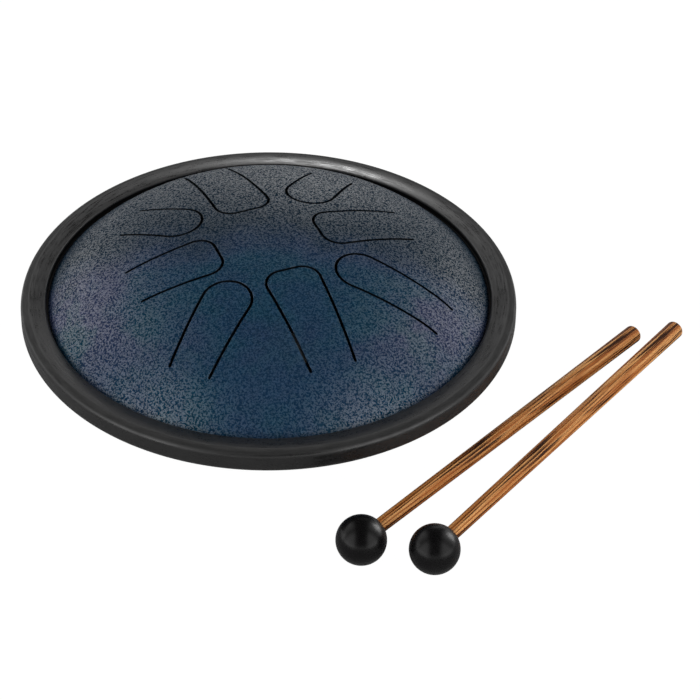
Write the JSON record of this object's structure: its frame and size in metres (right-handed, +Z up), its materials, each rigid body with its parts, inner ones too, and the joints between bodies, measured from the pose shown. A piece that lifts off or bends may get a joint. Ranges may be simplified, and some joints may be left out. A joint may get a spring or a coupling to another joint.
{
  "type": "steel tongue drum",
  "caption": "Round steel tongue drum: a domed upper shell cut into sprung tongues, a flattened lower shell with a sound hole, a rubber edge ring, rubber feet and rubber-headed mallets.",
  "frame": {"origin": "on the drum's axis in the plane that its feet stand on", "axes": "+Z up along the drum's axis; tongue 1 lies 23 degrees from +X towards +Y; the mallets lie on the -Y, +X side"},
  "size_m": [0.4128, 0.3569, 0.0952],
  "materials": {
    "wrinkle_paint": "dark blue powder coat with a fine wrinkle",
    "edge_rubber": "satin black, moulded",
    "foot_rubber": "matte black",
    "bond": "cured grey bond",
    "mallet_rubber": "matte black",
    "mallet_wood": "brown hardwood with dark streaks, oiled"
  },
  "bodies": {
    "drum": {"upper_shell": "wrinkle_paint", "lower_shell": "wrinkle_paint", "seam_bond": "bond", "edge_ring": "edge_rubber", "foot_1": "foot_rubber", "foot_2": "foot_rubber", "foot_3": "foot_rubber", "foot_4": "foot_rubber"},
    "tongue_1": {"tongue_1": "wrinkle_paint"},
    "tongue_2": {"tongue_2": "wrinkle_paint"},
    "tongue_3": {"tongue_3": "wrinkle_paint"},
    "tongue_4": {"tongue_4": "wrinkle_paint"},
    "tongue_5": {"tongue_5": "wrinkle_paint"},
    "tongue_6": {"tongue_6": "wrinkle_paint"},
    "tongue_7": {"tongue_7": "wrinkle_paint"},
    "tongue_8": {"tongue_8": "wrinkle_paint"},
    "mallet_1": {"mallet_1_head": "mallet_rubber", "mallet_1_shaft": "mallet_wood"},
    "mallet_2": {"mallet_2_head": "mallet_rubber", "mallet_2_shaft": "mallet_wood"}
  },
  "joints": [
    {"name": "tongue_1_flex", "type": "hinge", "parent": "drum", "child": "tongue_1", "pos_m": [0.08218, 0.03488, 0.07991], "axis": [-0.3907, 0.9205, 0], "range_deg": [-0.5, 0.5], "stiffness_Nm_per_rad": 15},
    {"name": "tongue_2_flex", "type": "hinge", "parent": "drum", "child": "tongue_2", "pos_m": [0.03691, 0.08696, 0.07785], "axis": [-0.9205, 0.3907, 0], "range_deg": [-0.5, 0.5], "stiffness_Nm_per_rad": 15},
    {"name": "tongue_3_flex", "type": "hinge", "parent": "drum", "child": "tongue_3", "pos_m": [-0.04306, 0.09904, 0.07155], "axis": [-0.9171, -0.3987, 0], "range_deg": [-0.5, 0.5], "stiffness_Nm_per_rad": 15},
    {"name": "tongue_4_flex", "type": "hinge", "parent": "drum", "child": "tongue_4", "pos_m": [-0.08647, 0.03582, 0.0782], "axis": [-0.3827, -0.9239, 0], "range_deg": [-0.5, 0.5], "stiffness_Nm_per_rad": 15},
    {"name": "tongue_5_flex", "type": "hinge", "parent": "drum", "child": "tongue_5", "pos_m": [-0.08011, -0.03237, 0.08098], "axis": [0.3746, -0.9272, 0], "range_deg": [-0.5, 0.5], "stiffness_Nm_per_rad": 15},
    {"name": "tongue_6_flex", "type": "hinge", "parent": "drum", "child": "tongue_6", "pos_m": [-0.04352, -0.1001, 0.07088], "axis": [0.9171, -0.3987, 0], "range_deg": [-0.5, 0.5], "stiffness_Nm_per_rad": 15},
    {"name": "tongue_7_flex", "type": "hinge", "parent": "drum", "child": "tongue_7", "pos_m": [0.04062, -0.0957, 0.0736], "axis": [0.9205, 0.3907, 0], "range_deg": [-0.5, 0.5], "stiffness_Nm_per_rad": 15},
    {"name": "tongue_8_flex", "type": "hinge", "parent": "drum", "child": "tongue_8", "pos_m": [0.10681, -0.04315, 0.06678], "axis": [0.3746, 0.9272, 0], "range_deg": [-0.5, 0.5], "stiffness_Nm_per_rad": 15},
    {"name": "mallet_1_lift", "type": "slide", "parent": "drum", "child": "mallet_1", "axis": [0, 0, 1], "range_m": [0, 0.12]},
    {"name": "mallet_2_lift", "type": "slide", "parent": "drum", "child": "mallet_2", "axis": [0, 0, 1], "range_m": [0, 0.12]}
  ]
}
